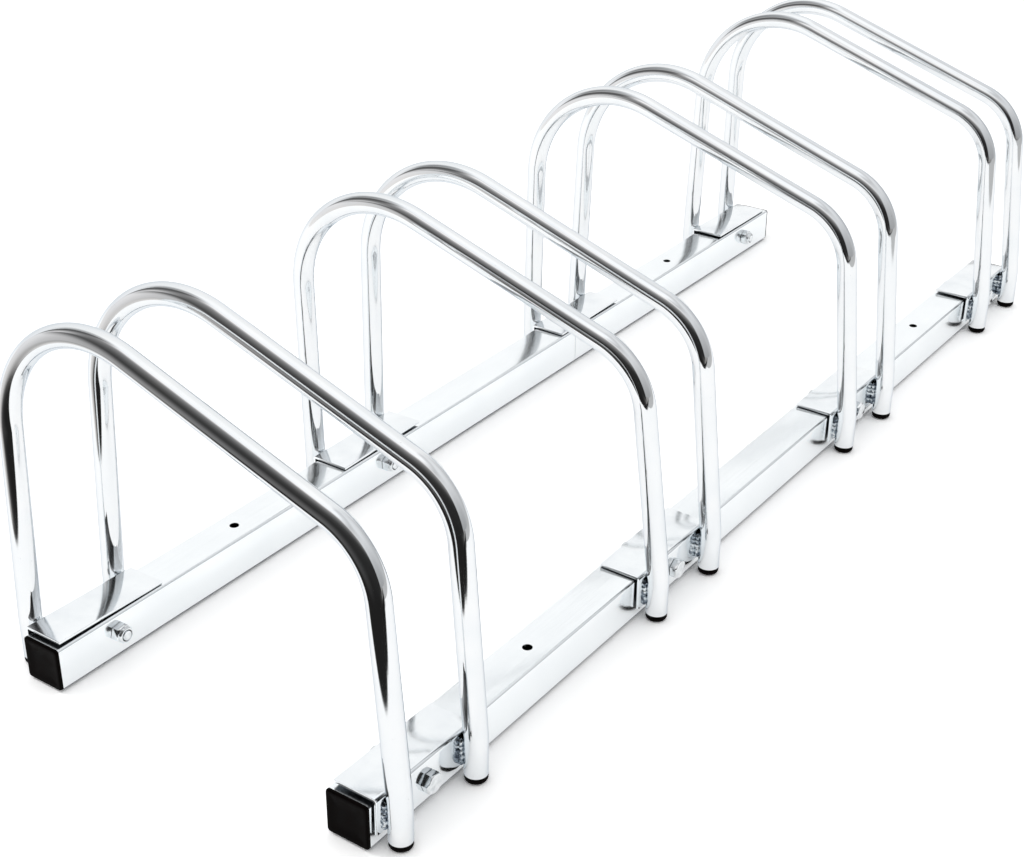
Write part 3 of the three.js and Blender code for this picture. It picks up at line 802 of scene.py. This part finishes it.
head = begin(bpy.ops.mesh.primitive_cylinder_add, "head", vertices=6, radius=HEX_RADIUS,
             depth=HEAD_HEIGHT, location=(0.0, HEAD_FACE_Y - HEAD_HEIGHT / 2, BOLT_Z),
             rotation=(math.pi / 2, math.pi / 6, 0.0))
bpy.ops.object.mode_set(mode="OBJECT")
turn_off_corners(head, HEX_RADIUS, HEAD_FACE_Y - HEAD_HEIGHT, HEAD_FACE_Y, 0.0011)
bpy.ops.object.mode_set(mode="EDIT")
close(head, ("BEVEL", {"width": 0.00025, "segments": 2, "limit_method": "ANGLE",
                       "angle_limit": math.radians(28)}))
shank_end = NUT_FACE_Y + SHANK_PAST_FACE
shank = begin(bpy.ops.mesh.primitive_cylinder_add, "shank", vertices=32,
              radius=SHANK_RADIUS, depth=shank_end - HEAD_FACE_Y + SHANK_IN_HEAD,
              location=(0.0, (shank_end + HEAD_FACE_Y - SHANK_IN_HEAD) / 2, BOLT_Z),
              rotation=LYING)
pick(shank, "EDGE", lambda middle, along: middle.y > shank_end - 0.0001
     and abs(along.y) < 0.5)
bpy.ops.mesh.bevel(offset=0.0007, segments=2)
close(shank)
combine(head, shank, "UNION")
for pair in range(4):
    for side in ("front", "back"):
        made = copy_of(head, f"hex_bolt_{side}_{pair + 1}",
                       set_fastener(pair, side, 17.0 * pair + 8.0))
        fit(made, steel, "fastener_steel", f"bolt_{side}_{pair + 1}")
bpy.data.objects.remove(head)

# ---------------------------------------------------------------- the nuts
# A locking nut on each bolt, against the rail's inner face: a hexagon with a round collar
# crimped over a nylon ring, and the bolt's end just showing in it.
NUT_HEX_HEIGHT = 0.0060
NUT_COLLAR = 0.0022
COLLAR_RADIUS = 0.0058
COLLAR_IN_HEX = 0.0020
RING_GAP = 0.0007

nut = begin(bpy.ops.mesh.primitive_cylinder_add, "nut", vertices=6, radius=HEX_RADIUS,
            depth=NUT_HEX_HEIGHT, location=(0.0, NUT_FACE_Y + NUT_HEX_HEIGHT / 2, BOLT_Z),
            rotation=(math.pi / 2, math.pi / 6, 0.0))
bpy.ops.object.mode_set(mode="OBJECT")
turn_off_corners(nut, HEX_RADIUS, NUT_FACE_Y + NUT_HEX_HEIGHT, NUT_FACE_Y, 0.0010)
collar_end = NUT_FACE_Y + NUT_HEX_HEIGHT + NUT_COLLAR
collar = begin(bpy.ops.mesh.primitive_cylinder_add, "collar", vertices=48,
               radius=COLLAR_RADIUS, depth=NUT_COLLAR + COLLAR_IN_HEX,
               location=(0.0, collar_end - (NUT_COLLAR + COLLAR_IN_HEX) / 2, BOLT_Z),
               rotation=LYING)
pick(collar, "EDGE", lambda middle, along: middle.y > collar_end - 0.0001
     and abs(along.y) < 0.5)
bpy.ops.mesh.bevel(offset=0.0010, segments=5, profile=0.5)
close(collar)
combine(nut, collar, "UNION")
cut_round(nut, SHANK_RADIUS + RING_GAP, 0.03, (0.0, NUT_FACE_Y, BOLT_Z), LYING)
bpy.ops.object.mode_set(mode="EDIT")
close(nut, ("BEVEL", {"width": 0.0002, "segments": 2, "limit_method": "ANGLE",
                      "angle_limit": math.radians(32)}))
for pair in range(4):
    for side in ("front", "back"):
        made = copy_of(nut, f"lock_nut_{side}_{pair + 1}",
                       set_fastener(pair, side, 23.0 * pair + 12.0))
        fit(made, steel, "fastener_steel", f"nut_{side}_{pair + 1}")
bpy.data.objects.remove(nut)
